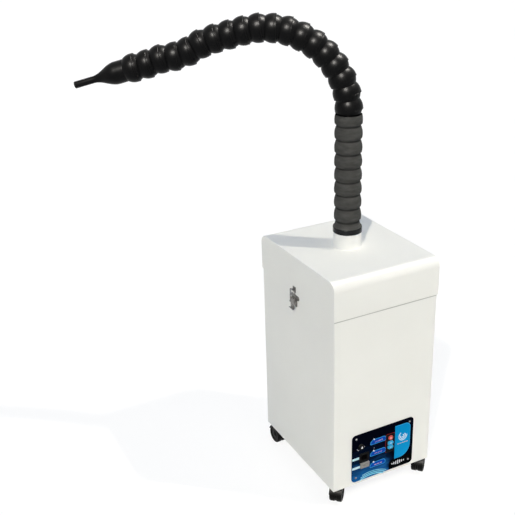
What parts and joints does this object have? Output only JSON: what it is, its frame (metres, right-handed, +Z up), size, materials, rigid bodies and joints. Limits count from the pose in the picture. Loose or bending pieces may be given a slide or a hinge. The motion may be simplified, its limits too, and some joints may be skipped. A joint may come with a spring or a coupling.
{
  "type": "chairside suction unit",
  "caption": "Floor-standing suction unit: white sheet-metal cabinet on castors with a lift-off lid that carries a posable ball-jointed hose arm and a tapered nozzle.",
  "frame": {"origin": "on the floor under the middle of the cabinet's footprint", "axes": "+Z up, -Y out of the front face with the control panel, +X to the right as seen from the front"},
  "size_m": [0.7455, 0.5426, 1.2387],
  "materials": {
    "white_paint": "gloss",
    "plain_steel": "satin",
    "dark_steel": "satin",
    "arm_black": "gloss",
    "sleeve_grey": "matte",
    "gasket_rubber": "matte",
    "panel_film": "satin",
    "trim_black": "satin",
    "trim_grey": "satin",
    "key_red": "gloss",
    "key_blue": "gloss",
    "lamp_lens": "gloss",
    "filter_card": "matte",
    "filter_paper": "matte",
    "fan_plastic": "satin",
    "motor_metal": "satin",
    "board_green": "satin",
    "castor_black": "gloss"
  },
  "bodies": {
    "base": {"cabinet_shell": "white_paint", "base_pan": "plain_steel", "castor_stems": "dark_steel", "control_plate": "panel_film", "panel_screws": "dark_steel", "keypad_bezel": "trim_black", "mains_inlet": "trim_black", "signal_socket": "trim_grey", "indicator_lamps": "lamp_lens", "filter_frame": "filter_card", "filter_media": "filter_paper", "blower_deck": "plain_steel", "blower_housing": "fan_plastic", "motor": "motor_metal", "control_board": "board_green", "exhaust_grille": "white_paint", "latch_bases": "dark_steel"},
    "lid": {"lid": "white_paint", "lid_gasket": "gasket_rubber", "lid_collar": "white_paint", "latch_keepers": "dark_steel"},
    "cuff": {"arm_swivel_cuff": "arm_black", "sleeved_links": "arm_black", "shrink_sleeve": "sleeve_grey"},
    "left_latch_lever": {"left_latch_lever": "dark_steel"},
    "left_latch_bail": {"left_latch_bail": "dark_steel"},
    "right_latch_lever": {"right_latch_lever": "dark_steel"},
    "right_latch_bail": {"right_latch_bail": "dark_steel"},
    "power_button": {"power_button": "key_red"},
    "speed_up_button": {"speed_up_button": "key_blue"},
    "speed_down_button": {"speed_down_button": "key_blue"},
    "speed_knob": {"speed_knob": "trim_black"},
    "front_left_castor_hood": {"front_left_castor_hood": "castor_black"},
    "front_left_castor_wheels": {"front_left_castor_wheels": "castor_black"},
    "front_right_castor_hood": {"front_right_castor_hood": "castor_black"},
    "front_right_castor_wheels": {"front_right_castor_wheels": "castor_black"},
    "rear_left_castor_hood": {"rear_left_castor_hood": "castor_black"},
    "rear_left_castor_wheels": {"rear_left_castor_wheels": "castor_black"},
    "rear_right_castor_hood": {"rear_right_castor_hood": "castor_black"},
    "rear_right_castor_wheels": {"rear_right_castor_wheels": "castor_black"},
    "impeller": {"impeller": "fan_plastic"},
    "link_01": {"link_01": "arm_black"},
    "link_02": {"link_02": "arm_black"},
    "link_03": {"link_03": "arm_black"},
    "link_04": {"link_04": "arm_black"},
    "link_05": {"link_05": "arm_black"},
    "link_06": {"link_06": "arm_black"},
    "link_07": {"link_07": "arm_black"},
    "link_08": {"link_08": "arm_black"},
    "link_09": {"link_09": "arm_black"},
    "link_10": {"link_10": "arm_black"},
    "link_11": {"link_11": "arm_black"},
    "link_12": {"link_12": "arm_black"},
    "link_13": {"link_13": "arm_black"},
    "link_14": {"link_14": "arm_black"},
    "link_15": {"link_15": "arm_black"},
    "link_16": {"link_16": "arm_black"},
    "link_17": {"link_17": "arm_black"},
    "link_18": {"link_18": "arm_black"},
    "nozzle": {"nozzle": "arm_black"}
  },
  "joints": [
    {"name": "lid_lift", "type": "slide", "parent": "base", "child": "lid", "axis": [0, 0, 1], "range_m": [0, 0.12]},
    {"name": "arm_swivel", "type": "hinge", "parent": "lid", "child": "cuff", "pos_m": [0, 0, 0.653], "axis": [0, 0, 1], "continuous": true},
    {"name": "left_latch_open", "type": "hinge", "parent": "base", "child": "left_latch_lever", "pos_m": [-0.157, 0.006, 0.535], "axis": [0, 1, 0], "range_deg": [0, 130]},
    {"name": "left_bail_turn", "type": "hinge", "parent": "left_latch_lever", "child": "left_latch_bail", "pos_m": [-0.159, 0.006, 0.526], "axis": [0, 1, 0], "range_deg": [-130, 0]},
    {"name": "right_latch_open", "type": "hinge", "parent": "base", "child": "right_latch_lever", "pos_m": [0.157, 0.006, 0.535], "axis": [0, -1, 0], "range_deg": [0, 130]},
    {"name": "right_bail_turn", "type": "hinge", "parent": "right_latch_lever", "child": "right_latch_bail", "pos_m": [0.159, 0.006, 0.526], "axis": [0, -1, 0], "range_deg": [-130, 0]},
    {"name": "power_button_press", "type": "slide", "parent": "base", "child": "power_button", "axis": [0, 1, 0], "range_m": [0, 0.0014], "stiffness_N_per_m": 400, "springref_m": -0.001},
    {"name": "speed_up_button_press", "type": "slide", "parent": "base", "child": "speed_up_button", "axis": [0, 1, 0], "range_m": [0, 0.0014], "stiffness_N_per_m": 400, "springref_m": -0.001},
    {"name": "speed_down_button_press", "type": "slide", "parent": "base", "child": "speed_down_button", "axis": [0, 1, 0], "range_m": [0, 0.0014], "stiffness_N_per_m": 400, "springref_m": -0.001},
    {"name": "speed_knob_turn", "type": "hinge", "parent": "base", "child": "speed_knob", "pos_m": [-0.07, -0.1865, 0.169], "axis": [0, -1, 0], "range_deg": [-150, 150]},
    {"name": "front_left_swivel", "type": "hinge", "parent": "base", "child": "front_left_castor_hood", "pos_m": [-0.132, -0.1665, 0.025], "axis": [0, 0, 1], "continuous": true},
    {"name": "front_left_roll", "type": "hinge", "parent": "front_left_castor_hood", "child": "front_left_castor_wheels", "pos_m": [-0.12313, -0.15699, 0.025], "axis": [-0.7314, 0.682, 0], "continuous": true},
    {"name": "front_right_swivel", "type": "hinge", "parent": "base", "child": "front_right_castor_hood", "pos_m": [0.132, -0.1665, 0.025], "axis": [0, 0, 1], "continuous": true},
    {"name": "front_right_roll", "type": "hinge", "parent": "front_right_castor_hood", "child": "front_right_castor_wheels", "pos_m": [0.14119, -0.15731, 0.025], "axis": [-0.7071, 0.7071, 0], "continuous": true},
    {"name": "rear_left_swivel", "type": "hinge", "parent": "base", "child": "rear_left_castor_hood", "pos_m": [-0.132, 0.1665, 0.025], "axis": [0, 0, 1], "continuous": true},
    {"name": "rear_left_roll", "type": "hinge", "parent": "rear_left_castor_hood", "child": "rear_left_castor_wheels", "pos_m": [-0.13155, 0.15351, 0.025], "axis": [0.9994, 0.0349, 0], "continuous": true},
    {"name": "rear_right_swivel", "type": "hinge", "parent": "base", "child": "rear_right_castor_hood", "pos_m": [0.132, 0.1665, 0.025], "axis": [0, 0, 1], "continuous": true},
    {"name": "rear_right_roll", "type": "hinge", "parent": "rear_right_castor_hood", "child": "rear_right_castor_wheels", "pos_m": [0.1385, 0.17776, 0.025], "axis": [-0.866, 0.5, 0], "continuous": true},
    {"name": "impeller_spin", "type": "hinge", "parent": "base", "child": "impeller", "pos_m": [0, 0, 0.249], "axis": [0, 0, 1], "continuous": true},
    {"name": "link_01_bend", "type": "hinge", "parent": "cuff", "child": "link_01", "pos_m": [0, 0, 1.0133], "axis": [-0.515, -0.8572, 0], "range_deg": [-23, 7]},
    {"name": "link_02_swing", "type": "hinge", "parent": "link_01", "child": "link_02", "pos_m": [-0.0042, 0.00252, 1.04816], "axis": [-0.8152, 0.4898, -0.309], "range_deg": [-11.24, 11.24]},
    {"name": "link_03_bend", "type": "hinge", "parent": "link_02", "child": "link_03", "pos_m": [-0.01352, 0.00813, 1.08163], "axis": [-0.515, -0.8572, 0], "range_deg": [-26, 4]},
    {"name": "link_04_swing", "type": "hinge", "parent": "link_03", "child": "link_04", "pos_m": [-0.02815, 0.01691, 1.11242], "axis": [0.6755, -0.4059, 0.6157], "range_deg": [-12.05, 12.05]},
    {"name": "link_05_bend", "type": "hinge", "parent": "link_04", "child": "link_05", "pos_m": [-0.04673, 0.02808, 1.14016], "axis": [-0.515, -0.8572, 0], "range_deg": [-25, 5]},
    {"name": "link_06_swing", "type": "hinge", "parent": "link_05", "child": "link_06", "pos_m": [-0.06915, 0.04155, 1.16371], "axis": [-0.4542, 0.2729, -0.848], "range_deg": [-11.24, 11.24]},
    {"name": "link_07_bend", "type": "hinge", "parent": "link_06", "child": "link_07", "pos_m": [-0.09474, 0.05692, 1.18237], "axis": [-0.515, -0.8572, 0], "range_deg": [-24, 6]},
    {"name": "link_08_swing", "type": "hinge", "parent": "link_07", "child": "link_08", "pos_m": [-0.12251, 0.07361, 1.19612], "axis": [0.1782, -0.1071, 0.9781], "range_deg": [-10.26, 10.26]},
    {"name": "link_09_bend", "type": "hinge", "parent": "link_08", "child": "link_09", "pos_m": [-0.15202, 0.09134, 1.20344], "axis": [-0.515, -0.8572, 0], "range_deg": [-25, 5]},
    {"name": "link_10_swing", "type": "hinge", "parent": "link_09", "child": "link_10", "pos_m": [-0.18218, 0.10946, 1.20467], "axis": [0.1341, -0.0806, -0.9877], "range_deg": [-10.26, 10.26]},
    {"name": "link_11_bend", "type": "hinge", "parent": "link_10", "child": "link_11", "pos_m": [-0.21198, 0.12737, 1.19916], "axis": [-0.515, -0.8572, 0], "range_deg": [-20, 10]},
    {"name": "link_12_swing", "type": "hinge", "parent": "link_11", "child": "link_12", "pos_m": [-0.24125, 0.14496, 1.19064], "axis": [-0.2074, 0.1246, 0.9703], "range_deg": [-15, 15]},
    {"name": "link_13_bend", "type": "hinge", "parent": "link_12", "child": "link_13", "pos_m": [-0.27053, 0.16255, 1.18213], "axis": [-0.515, -0.8572, 0], "range_deg": [-20, 10]},
    {"name": "link_14_swing", "type": "hinge", "parent": "link_13", "child": "link_14", "pos_m": [-0.29906, 0.17969, 1.17067], "axis": [0.4156, -0.2497, -0.8746], "range_deg": [-11.24, 11.24]},
    {"name": "link_15_bend", "type": "hinge", "parent": "link_14", "child": "link_15", "pos_m": [-0.32545, 0.19555, 1.1536], "axis": [-0.515, -0.8572, 0], "range_deg": [-5, 25]},
    {"name": "link_16_swing", "type": "hinge", "parent": "link_15", "child": "link_16", "pos_m": [-0.35398, 0.21269, 1.14214], "axis": [-0.1341, 0.0806, 0.9877], "range_deg": [-11.24, 11.24]},
    {"name": "link_17_bend", "type": "hinge", "parent": "link_16", "child": "link_17", "pos_m": [-0.38378, 0.2306, 1.13664], "axis": [-0.515, -0.8572, 0], "range_deg": [-25, 5]},
    {"name": "link_18_swing", "type": "hinge", "parent": "link_17", "child": "link_18", "pos_m": [-0.41231, 0.24774, 1.12518], "axis": [0.2074, -0.1246, -0.9703], "range_deg": [-14.16, 14.16]},
    {"name": "nozzle_bend", "type": "hinge", "parent": "link_18", "child": "nozzle", "pos_m": [-0.44158, 0.26533, 1.11666], "axis": [-0.515, -0.8572, 0], "range_deg": [-16, 14]}
  ],
  "couplings": [
    {"joint": "left_bail_turn", "follows": "left_latch_open", "ratio": -1},
    {"joint": "right_bail_turn", "follows": "right_latch_open", "ratio": -1}
  ]
}
